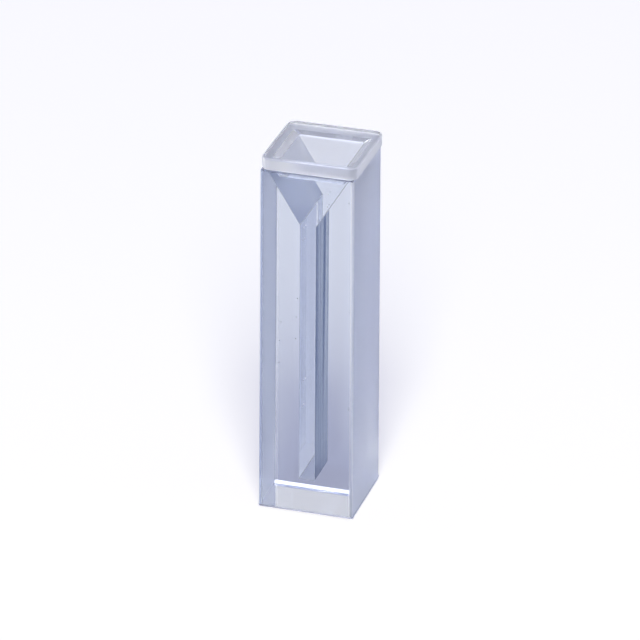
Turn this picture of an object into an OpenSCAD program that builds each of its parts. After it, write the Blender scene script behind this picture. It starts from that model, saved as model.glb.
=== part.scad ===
// Square cuvette with a narrow sample slot, a hopper mouth and a clear drop-in lid.
// X runs across the frosted sides, Y runs along the light path, Z is up.
// The origin is the centre of the foot.

/* [Cell body] */
// Outside width of the square body
cell_w = 12.5; // [12.3:0.05:12.7]
// Height of the body without its lid
cell_h = 45; // [43:0.5:50]
// Radius of the four upright edges
upright_r = 0.4; // [0.1:0.05:0.6]
// Chamfer along the foot on the two window sides
foot_chamfer = 0.4; // [0.2:0.05:0.8]

/* [Sample slot] */
// Light path: the clear distance between the two windows
light_path = 10; // [9.6:0.1:10.4]
// Width of the slot across the light path
slot_w = 2.15; // [1.5:0.05:2.2]
// Thickness of the solid floor under the slot
floor_t = 4.2; // [1.5:0.1:8]
// Radius in the two long corners at the bottom of the slot
slot_floor_r = 0.1; // [0.05:0.05:0.7]

/* [Hopper] */
// Depth of the hopper below the rim
hopper_h = 7; // [6:0.1:7.2]
// Angle of the two slopes from the upright
slope_angle = 33; // [30:0.5:33]
// Lead-in chamfer round the mouth
mouth_chamfer = 0.3; // [0.1:0.05:0.35]

/* [Lid] */
// Outside width of the lid's flange
lid_w = 12.8; // [12.6:0.05:13.2]
// Thickness of the flange
lid_t = 1.65; // [1.2:0.05:2.5]
// Radius of the flange's upright corners
lid_corner_r = 1.2; // [0.6:0.1:2]
// Radius round the flange's upper edge
lid_edge_r = 0.2; // [0.1:0.05:0.5]
// Radius round the flange's lower edge
lid_lip_r = 0.15; // [0.05:0.05:0.3]
// How far the plug reaches below the flange
plug_depth = 1.35; // [0.8:0.05:1.6]
// Air left between the plug and each wall of the mouth, with the lid centred
plug_gap = 0.3; // [0.25:0.05:0.4]
// How far the plug draws in on the window sides
plug_draft = 0.45; // [0.1:0.05:0.8]
// How far the lid lies to one side within its play
lid_shift = 0.2; // [0:0.05:0.2]

/* [Hidden] */
$fn = 64;
eps = 0.01;
over = 1;
slope_run = tan(slope_angle);
throat_z = cell_h - hopper_h;
mouth_x = slot_w + 2 * slope_run * hopper_h;
plug_root_x = mouth_x - 2 * plug_gap;
plug_root_y = light_path - 2 * plug_gap;
clear_plastic = [0.82, 0.85, 0.94, 0.45];
lid_plastic = [0.88, 0.90, 0.96, 0.40];

// Extrudes an outline drawn in X and Z along Y, centred on the XZ plane.
module along_y(length) {
    rotate([90, 0, 0])
        linear_extrude(length, center = true) children();
}

// Extrudes an outline drawn in Y and Z along X, centred on the YZ plane.
module along_x(length) {
    rotate([90, 0, 90])
        linear_extrude(length, center = true) children();
}

// A block with slanted sides: bottom and top are [width, depth], from z = 0 up to height.
module slanted_block(bottom, top, height) {
    reach = 4 * max(bottom[0], bottom[1], top[0], top[1]);
    intersection() {
        along_y(reach) trapezium(bottom[0], top[0], height);
        along_x(reach) trapezium(bottom[1], top[1], height);
    }
}

module trapezium(bottom, top, height) {
    polygon([[-bottom / 2, 0], [bottom / 2, 0], [top / 2, height], [-top / 2, height]]);
}

// A square with round corners.
module rounded_square(width, r) {
    square([width - 2 * r, width], center = true);
    square([width, width - 2 * r], center = true);
    for (x = [-1, 1], y = [-1, 1])
        translate([x * (width / 2 - r), y * (width / 2 - r)]) circle(r);
}

// The body's outline seen from a frosted side: upright windows that draw in at the foot.
module foot_outline() {
    window_y = cell_w / 2;
    foot_y = window_y - foot_chamfer;
    polygon([
        [-window_y, cell_h], [-window_y, foot_chamfer], [-foot_y, 0],
        [foot_y, 0], [window_y, foot_chamfer], [window_y, cell_h]
    ]);
}

// The body's outside: round upright edges, and a foot chamfered below each window.
module outer_block() {
    intersection() {
        linear_extrude(cell_h) rounded_square(cell_w, upright_r);
        along_x(2 * cell_w) foot_outline();
    }
}

// Section across the light path: the slot with its round floor corners, and the hopper above it.
module slot_and_hopper_outline() {
    round_z = floor_t + slot_floor_r;
    translate([-slot_w / 2, round_z]) square([slot_w, throat_z - round_z + eps]);
    translate([slot_floor_r - slot_w / 2, floor_t]) square([slot_w - 2 * slot_floor_r, slot_floor_r + eps]);
    for (side = [-1, 1])
        translate([side * (slot_w / 2 - slot_floor_r), round_z]) circle(slot_floor_r);
    translate([0, throat_z]) trapezium(slot_w, mouth_x + 2 * slope_run * over, hopper_h + over);
}

// Section along the light path: upright window walls with a lead-in at the mouth.
module window_outline() {
    lead_z = cell_h - mouth_chamfer;
    lead_h = mouth_chamfer + over;
    translate([-light_path / 2, 0]) square([light_path, lead_z + eps]);
    translate([0, lead_z]) trapezium(light_path, light_path + 2 * lead_h, lead_h);
}

// Everything that the moulding core leaves empty.
module inner_space() {
    intersection() {
        along_y(2 * cell_w) slot_and_hopper_outline();
        along_x(2 * cell_w) window_outline();
    }
}

module cell_body() {
    color(clear_plastic)
        difference() {
            outer_block();
            inner_space();
        }
}

// Section of the flange's rim from its corner axis outwards.
module flange_section(reach) {
    low = lid_lip_r;
    high = lid_t - lid_edge_r;
    square([reach - lid_edge_r, lid_t]);
    translate([0, low]) square([reach, high - low]);
    translate([reach - lid_edge_r, high]) circle(lid_edge_r);
    square([reach - low, low + eps]);
    translate([reach - low, low]) circle(low);
}

// The flange: a flat square plate with round corners and softened edges.
module flange() {
    corner = lid_w / 2 - lid_corner_r;
    for (x = [-1, 1], y = [-1, 1])
        translate([x * corner, y * corner, 0]) rotate_extrude() flange_section(lid_corner_r);
    for (turn = [0, 90, 180, 270])
        rotate([0, 0, turn])
            rotate([90, 0, 0])
                linear_extrude(2 * corner, center = true) flange_section(lid_w / 2);
}

module lid() {
    color(lid_plastic)
        translate([lid_shift, 0, cell_h]) {
            flange();
            translate([0, 0, -plug_depth])
                slanted_block(
                    [plug_root_x - 2 * slope_run * plug_depth, plug_root_y - 2 * plug_draft],
                    [plug_root_x, plug_root_y],
                    plug_depth
                );
        }
}

cell_body();
lid();
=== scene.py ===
import math

import bmesh
import bpy
from mathutils import Matrix, Vector


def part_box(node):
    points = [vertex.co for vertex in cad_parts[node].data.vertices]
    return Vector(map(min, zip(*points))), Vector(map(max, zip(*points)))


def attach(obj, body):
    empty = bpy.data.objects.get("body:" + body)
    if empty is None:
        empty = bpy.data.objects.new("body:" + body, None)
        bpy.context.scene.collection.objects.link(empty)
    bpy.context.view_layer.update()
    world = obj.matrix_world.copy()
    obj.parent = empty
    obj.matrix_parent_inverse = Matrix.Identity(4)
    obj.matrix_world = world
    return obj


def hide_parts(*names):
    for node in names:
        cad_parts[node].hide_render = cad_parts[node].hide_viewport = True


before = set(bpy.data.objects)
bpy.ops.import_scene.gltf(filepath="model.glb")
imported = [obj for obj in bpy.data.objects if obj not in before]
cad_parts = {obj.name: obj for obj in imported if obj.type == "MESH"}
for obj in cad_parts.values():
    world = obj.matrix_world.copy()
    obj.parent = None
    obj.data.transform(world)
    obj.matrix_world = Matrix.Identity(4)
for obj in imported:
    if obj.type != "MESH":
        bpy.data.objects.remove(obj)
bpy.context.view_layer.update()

mm = 0.001
scene = bpy.context.scene


def makePiece(name, bm):
    mesh = bpy.data.meshes.new(name)
    bm.to_mesh(mesh)
    bm.free()
    for poly in mesh.polygons:
        poly.use_smooth = True
    piece = bpy.data.objects.new(name, mesh)
    scene.collection.objects.link(piece)
    return piece


def bakeModifiers(piece):
    # the evaluated shape becomes the piece's plain mesh
    evaluated = piece.evaluated_get(bpy.context.evaluated_depsgraph_get())
    mesh = bpy.data.meshes.new_from_object(evaluated)
    piece.modifiers.clear()
    piece.data = mesh
    mesh.name = piece.name
    return piece


def lofted(bm, rings):
    # joins each ring to the next with quads, and caps both ends
    layers = [[bm.verts.new(point) for point in ring] for ring in rings]
    count = len(layers[0])
    bands = []
    for low, high in zip(layers, layers[1:]):
        corners = [(low[i], low[(i + 1) % count], high[(i + 1) % count], high[i]) for i in range(count)]
        bands.append([bm.faces.new(quad) for quad in corners])
    bm.faces.new(list(reversed(layers[0])))
    bm.faces.new(layers[-1])
    return layers, bands


# the body's sizes in millimetres and degrees
cellSet = {
    "footChamfer": 0.4,
    "uprightRadius": 0.4,
    "lightPath": 10.0,
    "slotWidth": 2.15,
    "slotFloor": 4.2,
    "hopperDepth": 7.0,
    "slopeAngle": 33.0,
    "mouthChamfer": 0.3,
    "rimSoftness": 0.14,
    "footSoftness": 0.02,
    "chamferSoftness": 0.05,
    "mouthSoftness": 0.05,
    "throatSoftness": 0.1,
    "slotSoftness": 0.08,
    "bevelSteps": 5,
    # how frosted its kinds of face are and how pale or deep in tint: the slopes and the slot's base take a
    # share of the near-clear inner tint, the paler tint on the right side and on two uprights is painted
    # light, and the deeper tint on the rim, the other two uprights and the front chamfer is painted shade
    "sidePaintedLight": 0.44,
    "slopeFrost": 0.6,
    "slopePale": 0.6,
    "edgeFrost": 0.8,
    "edgeDeep": 0.6,
    "edgePale": 0.8,
    "rimPaintedShade": 0.7,
    "chamferFrost": 0.6,
    "frontChamferFrost": 1.0,
    "frontChamferPaintedShade": 1.0,
    "slotBaseFrost": 1.0,
    "slotBasePale": 0.7,
}
slotWall, hopperSlope = 1, 2  # their places among the body's materials, after the plain plastic


def squareRing(halfX, halfY, z):
    return [Vector((sx * halfX, sy * halfY, z)) * mm for sx, sy in ((-1, -1), (1, -1), (1, 1), (-1, 1))]


def buildCell():
    s = cellSet
    low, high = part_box("cell_body")
    half = (high.x - low.x) / 2 / mm
    top = high.z / mm
    path = s["lightPath"] / 2
    slot = s["slotWidth"] / 2
    run = math.tan(math.radians(s["slopeAngle"]))
    throat = top - s["hopperDepth"]
    mouth = slot + run * s["hopperDepth"]
    lead = s["mouthChamfer"]
    c = s["footChamfer"]
    # half width, half depth, height, softness of the ring's edges, softness of the uprights above it
    rings = [
        (half, half - c, 0, s["footSoftness"], s["chamferSoftness"]),
        (half, half, c, s["chamferSoftness"], s["uprightRadius"]),
        (half, half, top, s["rimSoftness"], 0),
        (mouth, path + lead, top, s["mouthSoftness"], s["mouthSoftness"]),
        (mouth - run * lead, path, top - lead, s["mouthSoftness"], s["slotSoftness"]),
        (slot, path, throat, s["throatSoftness"], s["slotSoftness"]),
        (slot, path, s["slotFloor"], s["slotSoftness"], 0),
    ]
    bm = bmesh.new()
    soft = bm.edges.layers.float.new("bevel_weight_edge")
    innerAndPaintedLight = bm.faces.layers.float.new("innerAndPaintedLight")
    layers, bands = lofted(bm, [squareRing(*ring[:3]) for ring in rings])
    widest = max(softness for ring in rings for softness in ring[3:])
    for k, (layer, ring) in enumerate(zip(layers, rings)):
        for i, vert in enumerate(layer):
            along = bm.edges.get((vert, layer[(i + 1) % 4]))
            along[soft] = ring[3] / widest
            if k + 1 < len(layers):
                bm.edges.get((vert, layers[k + 1][i]))[soft] = ring[4] / widest
    for band in bands[2:]:  # all but the foot's chamfer and the outside walls
        for face in band:
            face[innerAndPaintedLight] = 1.0
    # the slot's two long walls carry fine upright scuff lines and painted shade that darkens their glancing
    # inner mirror, and the hopper's slopes are satin
    hopperBand, slotBand, longSides = 4, 5, (1, 3)
    for i in longSides:
        bands[slotBand][i].material_index = slotWall
        bands[hopperBand][i].material_index = hopperSlope
        bands[hopperBand][i][innerAndPaintedLight] = s["slopePale"]
    piece = makePiece("cellBody", bm)
    bevel = piece.modifiers.new("bevel", "BEVEL")
    bevel.limit_method = "WEIGHT"
    bevel.width = widest * mm
    bevel.segments = s["bevelSteps"]
    bevel.use_clamp_overlap = False
    bevel.harden_normals = True
    bakeModifiers(piece)
    markCell(piece.data, half, top, throat)
    return piece


def markCell(mesh, half, top, throat):
    # the frosted sides, the satin edges and chamfers and the slot's base, each by where it lies
    s = cellSet
    square, level, leaning = 0.999, 0.99, 0.2  # how squarely a face has to look along an axis
    near, footEdge = 0.01, 0.06  # how close to the side it has to lie, in millimetres
    for name in ("frost", "edge"):
        mesh.attributes.new(name, "FLOAT", "FACE")
    frost, innerAndPaintedLight, edge = (mesh.attributes[name].data for name in ("frost", "innerAndPaintedLight", "edge"))
    upright = half - s["uprightRadius"]
    rim = s["rimSoftness"]
    for face, mark, light, dark in zip(mesh.polygons, frost, innerAndPaintedLight, edge):
        x, y, z = (abs(v) / mm for v in face.center)
        across, along, up = face.normal
        if abs(across) > square and x > half - near:
            mark.value = 1.0
            # painted light: the right frosted side is paler than the left
            light.value = s["sidePaintedLight"] if across > 0 else 0.0
        elif face.material_index == hopperSlope:
            mark.value = s["slopeFrost"]
        elif x > half - footEdge and (z < footEdge or z > top - rim):
            mark.value = 1.0
        elif z > top - rim and y > half - rim and up < level:
            # painted shade on the rim's front and back top bevels, just under the lid
            dark.value = s["rimPaintedShade"]
        elif x > upright and y > upright:
            mark.value = s["edgeFrost"]
            # painted shade on the side-facing half of the front-left and back-right uprights, painted light
            # on the front-right and back-left ones
            if across * along > 0:
                dark.value = s["edgeDeep"] * max(0.0, 2 * abs(across) - 1)
            else:
                light.value = s["edgePale"]
        elif up < -leaning and y > upright:
            mark.value = s["chamferFrost"] if along > 0 else s["frontChamferFrost"]
            # painted shade: the front chamfer is deepened to the dark tint, the back one is not
            dark.value = 0.0 if along > 0 else s["frontChamferPaintedShade"]
        elif up > square and z < throat:
            mark.value = s["slotBaseFrost"]
            light.value = s["slotBasePale"]


# the lid's sizes in millimetres
lidSet = {
    "cornerRadius": 1.2,
    "topRadius": 0.2,
    "lipRadius": 0.15,
    "plugGap": 0.3,
    "plugDraft": 0.45,
    "plugCorner": 0.35,
    "plugTipGrowth": 0.01,
    "plugRootGrowth": 0.1,
    "plugSoftness": 0.1,
    "lift": 0.1,
    "plugSteps": 3,
    "cornerSteps": 10,
    "edgeSteps": 5,
    "sharpAngle": 50,
    # how frosted its kinds of face are, with painted light on the flange's front and painted shade on its
    # right side and on the plug's slopes
    "rimFrost": 1.0,
    "rimSidePaintedShade": 0.2,
    "rimFrontPaintedLight": 1.0,
    "topEdgeFrost": 1.2,
    "plugSlopeFrost": 1.2,
    "plugSlopePaintedShade": 0.25,
    "plugWindowFrost": 0.35,
    "seatFrost": 1.0,
}


def quarterTurn(steps):
    # sine and cosine at each step from 0 to 90 degrees
    turns = [math.radians(90 * k / steps) for k in range(steps + 1)]
    return [(math.sin(a), math.cos(a)) for a in turns]


def roundedRing(halfX, halfY, radius, z, shiftX, steps):
    points = []
    for turn, (sx, sy) in enumerate(((1, -1), (1, 1), (-1, 1), (-1, -1))):
        for step in range(steps + 1):
            a = math.radians(-90 + 90 * turn + 90 * step / steps)
            x = sx * (halfX - radius) + radius * math.cos(a) + shiftX
            y = sy * (halfY - radius) + radius * math.sin(a)
            points.append(Vector((x, y, z)) * mm)
    return points


def buildLid():
    s = lidSet
    low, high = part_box("lid")
    half = (high.x - low.x) / 2 / mm
    shift = (high.x + low.x) / 2 / mm
    # the underside is lifted a little, so that a thin dark line shows where the lid rests
    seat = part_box("cell_body")[1].z / mm + s["lift"]
    top, bottom = high.z / mm, low.z / mm + s["lift"]
    run = math.tan(math.radians(cellSet["slopeAngle"]))
    rootX = cellSet["slotWidth"] / 2 + run * cellSet["hopperDepth"] - s["plugGap"]
    rootY = cellSet["lightPath"] / 2 - s["plugGap"]
    tipX, tipY = rootX - run * (seat - bottom), rootY - s["plugDraft"]
    soft, lip, brim = s["plugSoftness"], s["lipRadius"], s["topRadius"]
    # half width, half depth, corner radius and height, from the plug's tip up to the flange's top
    rings = []
    for k, (sine, cosine) in enumerate(quarterTurn(s["plugSteps"])):
        inset = soft - soft * sine
        corner = s["plugCorner"] + k * s["plugTipGrowth"]
        rings.append((tipX - inset, tipY - inset, corner, bottom + soft - soft * cosine))
    rings.append((rootX, rootY, s["plugCorner"] + s["plugRootGrowth"], seat))
    for sine, cosine in quarterTurn(s["edgeSteps"]):
        inset = lip - lip * sine
        rings.append((half - inset, half - inset, s["cornerRadius"] - inset, seat + lip - lip * cosine))
    for sine, cosine in quarterTurn(s["edgeSteps"]):
        inset = brim - brim * cosine
        rings.append((half - inset, half - inset, s["cornerRadius"] - inset, top - brim + brim * sine))
    bm = bmesh.new()
    frost, edge, innerAndPaintedLight = (bm.faces.layers.float.new(name) for name in ("frost", "edge", "innerAndPaintedLight"))
    bands = lofted(bm, [roundedRing(*ring, shift, s["cornerSteps"]) for ring in rings])[1]
    bm.normal_update()
    seatBand = s["plugSteps"] + 1
    lastRimBand = seatBand + s["edgeSteps"] + 1
    for k, band in enumerate(bands):
        for face in band:
            across, along = face.normal.xy
            if k < seatBand:
                window = abs(along) > abs(across)
                face[frost] = s["plugWindowFrost"] if window else s["plugSlopeFrost"]
                # painted shade on the plug's sloped sides
                face[edge] = 0.0 if window else s["plugSlopePaintedShade"]
            elif k == seatBand:
                face[frost] = s["seatFrost"]
            elif k <= lastRimBand:
                face[frost] = s["rimFrost"]
                # painted shade on the flange's right side, painted light on its front
                face[edge] = s["rimSidePaintedShade"] * max(0.0, across)
                face[innerAndPaintedLight] = s["rimFrontPaintedLight"] * max(0.0, -along)
            else:
                face[frost] = s["topEdgeFrost"]
    piece = makePiece("lidPlate", bm)
    piece.data.set_sharp_from_angle(angle=math.radians(s["sharpAngle"]))
    weighted = piece.modifiers.new("weighted", "WEIGHTED_NORMAL")
    weighted.keep_sharp = True
    weighted.weight = 100
    return bakeModifiers(piece)


# tints are what two walls let through together
cellFinish = {
    "polishedTint": (0.652, 0.695, 0.784, 1),
    "frostedTint": (0.43, 0.50, 0.78, 1),
    # near-clear tint of the inner faces, also the colour of painted light on faces marked paler
    "innerAndPaintedLightTint": (0.97, 0.98, 1.0, 1),
    # the colour of painted shade
    "edgeTint": (0.15, 0.155, 0.22, 1),
    "frostedRoughness": 0.5,
    "ior": 1.59,
    # frosted walls seen from inside: the share that tints their mirror, and painted light near the foot, a
    # paler share that fades out upward
    "grazeTint": (0.66, 0.78, 1.0, 1),
    "grazeShare": 0.15,
    "footPaintedLight": 0.6,
    "footPaintedLightTop": 1.5,
    "footPaintedLightFade": 6.0,
    # the solid foot lets this share of the lamps' light through
    "clearFoot": 0.7,
    "clearFootTop": 5.5,
    "clearFootFade": 3.0,
}
surfaceWear = {
    "cloudScale": (500.0, 500.0, 90.0),
    "cloudDetail": 3.0,
    "cloudSpan": (0.35, 0.7),
    "clouds": 0.45,
    "cloudTint": (0.50, 0.57, 0.86, 1),
    "speckCells": 320.0,
    "speckSize": 0.045,
    "speckCore": 0.4,
    "speckRarity": 0.8,
    "speckRoughness": 0.5,
    "speckTint": (0.35, 0.38, 0.48, 1),
}
slotWallFinish = {
    # painted shade in the slot walls' glancing inner mirror: a dark metallic tint in fine upright lines, and
    # a darker specular tint
    "scuffShadeTint": (0.02, 0.10, 0.30, 1),
    "mirrorShadeTint": (0.45, 0.5, 0.6, 1),
    "scuffShadeScale": (1.0, 800.0, 20.0),
    "scuffShadeDetail": 2.0,
    "scuffShadeSpan": (0.3, 0.7),
    "scuffShades": (0.7, 1.25),
}
hopperSlopeFinish = {
    "grazeShare": 0.0,
}
lidFinish = {
    "polishedTint": (0.80, 0.83, 0.89, 1),
    "frostedTint": (0.90, 0.92, 1.0, 1),
    # near-clear tint of the inner faces, also the colour of painted light on the flange's front
    "innerAndPaintedLightTint": (1.0, 1.0, 1.0, 1),
    # the colour of painted shade
    "edgeTint": (0.13, 0.14, 0.24, 1),
    "frostedRoughness": 0.42,
    "ior": 1.59,
    "clouds": 0.0,
}


def mathOf(nt, operation, first, second, clamp=False):
    node = nt.nodes.new("ShaderNodeMath")
    node.operation = operation
    node.use_clamp = clamp
    for socket, value in zip(node.inputs, (first, second)):
        if isinstance(value, float):
            socket.default_value = value
        else:
            nt.links.new(value, socket)
    return node.outputs[0]


def multiply(nt, share, *others):
    for other in others:
        share = mathOf(nt, "MULTIPLY", share, other)
    return share


def spanOf(nt, value, start, end=(0.0, 1.0)):
    # the start range becomes the end range, and nothing goes past it
    node = nt.nodes.new("ShaderNodeMapRange")
    for socket, number in zip(("From Min", "From Max", "To Min", "To Max"), (*start, *end)):
        node.inputs[socket].default_value = number
    nt.links.new(value, node.inputs["Value"])
    return node.outputs[0]


def mixColours(nt, factor, first, second):
    mix = nt.nodes.new("ShaderNodeMix")
    mix.data_type = "RGBA"
    for socket, value in (("A", first), ("B", second)):
        if isinstance(value, tuple):
            mix.inputs[socket].default_value = value
        else:
            nt.links.new(value, mix.inputs[socket])
    nt.links.new(factor, mix.inputs["Factor"])
    return mix.outputs["Result"]


def faceMask(nt, layer):
    node = nt.nodes.new("ShaderNodeAttribute")
    node.attribute_name = layer
    return node.outputs["Fac"]


def spreadPlace(nt, scale, turn=0.0):
    # object coordinates stretched by scale, and turned about X to lay a flat pattern on the windows
    place = nt.nodes.new("ShaderNodeTexCoord")
    stretch = nt.nodes.new("ShaderNodeMapping")
    stretch.inputs["Scale"].default_value = scale
    stretch.inputs["Rotation"].default_value = (turn, 0.0, 0.0)
    nt.links.new(place.outputs["Object"], stretch.inputs["Vector"])
    return stretch.outputs[0]


def noiseOf(nt, scale, detail):
    noise = nt.nodes.new("ShaderNodeTexNoise")
    noise.inputs["Scale"].default_value = 1.0
    noise.inputs["Detail"].default_value = detail
    nt.links.new(spreadPlace(nt, scale), noise.inputs["Vector"])
    return noise.outputs["Fac"]


def footShare(nt, share, top, fade):
    # share at the foot, which fades out over the given height above top
    place = nt.nodes.new("ShaderNodeTexCoord")
    split = nt.nodes.new("ShaderNodeSeparateXYZ")
    nt.links.new(place.outputs["Object"], split.inputs[0])
    return spanOf(nt, split.outputs["Z"], (top * mm, (top + fade) * mm), (share, 0.0))


def cloudShare(nt, s, frost):
    # frosted walls are slightly uneven, in soft upright clouds
    noise = noiseOf(nt, s["cloudScale"], s["cloudDetail"])
    return multiply(nt, spanOf(nt, noise, s["cloudSpan"], (0.0, s["clouds"])), frost)


def scuffShadeShare(nt, s, inside):
    # painted shade: a dark share darkens the glancing mirror inside the wall, in fine upright scuff lines
    noise = noiseOf(nt, s["scuffShadeScale"], s["scuffShadeDetail"])
    glancing = nt.nodes.new("ShaderNodeLayerWeight").outputs["Facing"]
    return multiply(nt, inside, glancing, spanOf(nt, noise, s["scuffShadeSpan"], s["scuffShades"]))


def speckMask(nt, s, frost):
    # a few dust specks on the polished walls
    cells = nt.nodes.new("ShaderNodeTexVoronoi")
    cells.voronoi_dimensions = "2D"
    cells.inputs["Scale"].default_value = 1.0
    place = spreadPlace(nt, (s["speckCells"],) * 3, math.radians(90))
    nt.links.new(place, cells.inputs["Vector"])
    split = nt.nodes.new("ShaderNodeSeparateColor")
    nt.links.new(cells.outputs["Color"], split.inputs[0])
    near = spanOf(nt, cells.outputs["Distance"], (s["speckSize"], s["speckSize"] * s["speckCore"]))
    rare = mathOf(nt, "GREATER_THAN", split.outputs[0], s["speckRarity"])
    polished = mathOf(nt, "SUBTRACT", 1.0, frost)
    return multiply(nt, near, rare, polished)


def letLampsThrough(nt, shader, s):
    # only shadow rays meet this: the solid foot throws a light shadow, the walls above it a full one
    clear = nt.nodes.new("ShaderNodeBsdfTransparent")
    share = footShare(nt, s["clearFoot"], s["clearFootTop"], s["clearFootFade"])
    nt.links.new(share, clear.inputs["Color"])
    rays = nt.nodes.new("ShaderNodeLightPath")
    mix = nt.nodes.new("ShaderNodeMixShader")
    nt.links.new(rays.outputs["Is Shadow Ray"], mix.inputs[0])
    nt.links.new(shader.outputs[0], mix.inputs[1])
    nt.links.new(clear.outputs[0], mix.inputs[2])
    nt.links.new(mix.outputs[0], nt.nodes["Material Output"].inputs["Surface"])


def plasticMaterial(name, s):
    mat = bpy.data.materials.new(name)
    mat.use_nodes = True
    nt = mat.node_tree
    shader = nt.nodes["Principled BSDF"]
    shader.inputs["Transmission Weight"].default_value = 1.0
    shader.inputs["IOR"].default_value = s["ior"]
    frost, pale, deep = (faceMask(nt, layer) for layer in ("frost", "innerAndPaintedLight", "edge"))
    specks = speckMask(nt, s, frost)
    rough = multiply(nt, frost, s["frostedRoughness"])
    worn = mathOf(nt, "MAXIMUM", rough, multiply(nt, specks, s["speckRoughness"]))
    nt.links.new(worn, shader.inputs["Roughness"])
    tint = mixColours(nt, frost, s["polishedTint"], s["frostedTint"])
    tint = mixColours(nt, cloudShare(nt, s, frost), tint, s["cloudTint"])
    tint = mixColours(nt, specks, tint, s["speckTint"])
    # the pale share: the inner faces' near-clear tint, and painted light where outer faces are marked paler
    tint = mixColours(nt, pale, tint, s["innerAndPaintedLightTint"])
    # the deep share: painted shade
    tint = mixColours(nt, deep, tint, s["edgeTint"])
    inside = nt.nodes.new("ShaderNodeNewGeometry").outputs["Backfacing"]
    if "scuffShadeTint" in s:
        # painted shade: the slot walls' glancing inner mirror is darkened by a dark metallic share and a
        # darker specular tint
        scuffShades = scuffShadeShare(nt, s, inside)
        nt.links.new(scuffShades, shader.inputs["Metallic"])
        shader.inputs["Specular Tint"].default_value = s["mirrorShadeTint"]
        tint = mixColours(nt, scuffShades, tint, s["scuffShadeTint"])
    elif "grazeTint" in s:
        frostInside = multiply(nt, frost, inside)
        graze = multiply(nt, frostInside, s["grazeShare"])
        nt.links.new(graze, shader.inputs["Metallic"])
        shader.inputs["Specular Tint"].default_value = s["grazeTint"]
        tint = mixColours(nt, graze, tint, s["grazeTint"])
        # painted light: frosted walls seen from inside are paler near the foot
        foot = footShare(nt, s["footPaintedLight"], s["footPaintedLightTop"], s["footPaintedLightFade"])
        tint = mixColours(nt, multiply(nt, frostInside, foot), tint, s["innerAndPaintedLightTint"])
    nt.links.new(tint, shader.inputs["Base Color"])
    if "clearFoot" in s:
        letLampsThrough(nt, shader, s)
    return mat


cameraSet = {
    "eye": (0.19875, -0.66030, 0.33760),
    "aim": (0.0, 0.0, 0.02316),
    "lens": 331.76,
    "filmTurn": 16.935,
    "filmTilt": 6.313,
    "filmRoll": 0.31,
}


def placeCamera():
    # a view camera: the film stands more upright than the line of sight, so the sides stay nearly parallel
    s = cameraSet
    eye = Vector(s["eye"])
    aim = Vector(s["aim"])
    turn, tilt, roll = (math.radians(s[k]) for k in ("filmTurn", "filmTilt", "filmRoll"))
    film = Vector((-math.sin(turn) * math.cos(tilt), math.cos(turn) * math.cos(tilt), -math.sin(tilt)))
    right = Vector((math.cos(turn), math.sin(turn), 0))
    up = right.cross(film)
    x = right * math.cos(roll) + up * math.sin(roll)
    y = up * math.cos(roll) - right * math.sin(roll)
    z = (eye - aim).normalized()
    data = bpy.data.cameras.new("camera")
    data.sensor_width = 36
    data.lens = s["lens"]
    data.clip_end = 10
    camera = bpy.data.objects.new("camera", data)
    scene.collection.objects.link(camera)
    stand = bpy.data.objects.new("cameraStand", None)
    scene.collection.objects.link(stand)
    camera.parent = stand
    camera.matrix_parent_inverse = Matrix((
        (x.x, y.x, z.x, eye.x), (x.y, y.y, z.y, eye.y), (x.z, y.z, z.z, eye.z), (0, 0, 0, 1)))
    scene.camera = camera


studioSet = {
    "floorDrop": 0.00003,
    "floorSize": 6.0,
    "floorColour": (0.8, 0.8, 0.8, 1),
    "floorRoughness": 0.9,
    "floorGlow": (0.444, 0.433, 0.53, 1),
    "roomColour": (0.10, 0.12, 0.18, 1),
    "bounces": 24,
    "glossyBounces": 16,
}


def backdrop():
    s = studioSet
    bm = bmesh.new()
    bmesh.ops.create_grid(bm, x_segments=1, y_segments=1, size=s["floorSize"] / 2)
    bmesh.ops.translate(bm, verts=bm.verts, vec=(0, 0, -s["floorDrop"]))
    floor = makePiece("floor", bm)
    mat = bpy.data.materials.new("floor")
    mat.use_nodes = True
    nt = mat.node_tree
    shader = nt.nodes["Principled BSDF"]
    shader.inputs["Base Color"].default_value = s["floorColour"]
    shader.inputs["Roughness"].default_value = s["floorRoughness"]
    shader.inputs["Specular IOR Level"].default_value = 0.0
    # the glow is seen, also through the plastic, but lights nothing
    lightPath = nt.nodes.new("ShaderNodeLightPath")
    seen = lightPath.outputs["Is Camera Ray"]
    for kind in ("Is Glossy Ray", "Is Transmission Ray"):
        seen = mathOf(nt, "ADD", seen, lightPath.outputs[kind], clamp=True)
    nt.links.new(seen, shader.inputs["Emission Strength"])
    shader.inputs["Emission Color"].default_value = s["floorGlow"]
    floor.data.materials.append(mat)


def roomLight():
    world = bpy.data.worlds.new("room")
    scene.world = world
    world.use_nodes = True
    world.node_tree.nodes["Background"].inputs["Color"].default_value = studioSet["roomColour"]


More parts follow.
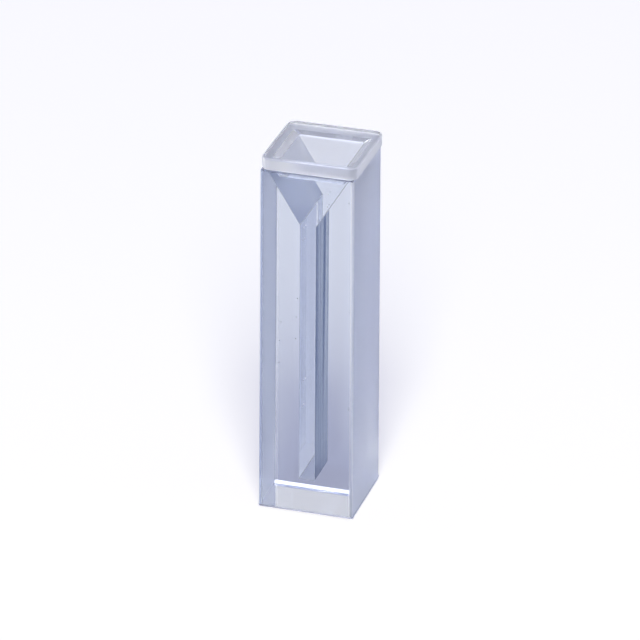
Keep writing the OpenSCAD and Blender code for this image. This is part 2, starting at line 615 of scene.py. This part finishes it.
# each panel's bearing and height as seen from the object, in degrees, its size there and its brightness
lampDistance = 2.5
lampCentre = Vector((0, 0, 0.02))
lampSet = {
    "soft": {
        "turn": 16.3, "lift": 44, "wide": 20, "high": 32,
        "level": 14.55, "colour": (1.0, 0.985, 0.80), "plasticOnly": False},
    "ceiling": {
        "turn": 0, "lift": 88, "wide": 50, "high": 50,
        "level": 4.8, "colour": (0.9, 0.92, 1.15), "plasticOnly": True},
    "backPanel": {
        "turn": 180, "lift": 24, "wide": 90, "high": 20,
        "level": 0.75, "colour": (1.12, 1.06, 1.0), "plasticOnly": True},
    "backStrip": {
        "turn": 180, "lift": 8, "wide": 70, "high": 10,
        "level": 3.2, "colour": (1.0, 1.0, 1.0), "plasticOnly": True},
    "left": {
        "turn": -90, "lift": 10, "wide": 70, "high": 40,
        "level": 0.8, "colour": (0.9, 0.95, 1.1), "plasticOnly": True},
    "right": {
        "turn": 90, "lift": 10, "wide": 70, "high": 40,
        "level": 0.85, "colour": (0.95, 0.97, 1.25), "plasticOnly": True},
}


def lamps():
    for name, s in lampSet.items():
        turn, lift = math.radians(s["turn"]), math.radians(s["lift"])
        away = Vector((math.sin(turn) * math.cos(lift), -math.cos(turn) * math.cos(lift), math.sin(lift)))
        data = bpy.data.lights.new(name, "AREA")
        data.shape = "RECTANGLE"
        data.size = 2 * lampDistance * math.tan(math.radians(s["wide"] / 2))
        data.size_y = 2 * lampDistance * math.tan(math.radians(s["high"] / 2))
        data.energy = s["level"] * math.pi * data.size * data.size_y
        data.color = s["colour"]
        lamp = bpy.data.objects.new(name, data)
        lamp.location = away * lampDistance + lampCentre
        lamp.rotation_euler = away.to_track_quat("Z", "Y").to_euler()
        lamp.visible_diffuse = not s["plasticOnly"]
        scene.collection.objects.link(lamp)


scene.view_settings.view_transform = "Standard"
# light that passes through the plastic is left to the fill, and inner reflections get all their turns
scene.cycles.caustics_refractive = False
scene.cycles.max_bounces = studioSet["bounces"]
scene.cycles.glossy_bounces = studioSet["glossyBounces"]
scene.cycles.transmission_bounces = studioSet["bounces"]
placeCamera()
backdrop()
roomLight()
lamps()
print("camera, floor and lamps placed")

cell = buildCell()
cell.data.materials.append(plasticMaterial("cellPlastic", {**cellFinish, **surfaceWear}))
cell.data.materials.append(plasticMaterial("slotWall", {**cellFinish, **surfaceWear, **slotWallFinish}))
cell.data.materials.append(plasticMaterial("hopperSlope", {**cellFinish, **surfaceWear, **hopperSlopeFinish}))
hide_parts("cell_body")
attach(cell, "root")
print("body made,", len(cell.data.polygons), "faces")

lid = buildLid()
lid.data.materials.append(plasticMaterial("lidPlastic", {**surfaceWear, **lidFinish}))
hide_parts("lid")
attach(lid, "root")
print("lid made,", len(lid.data.polygons), "faces")
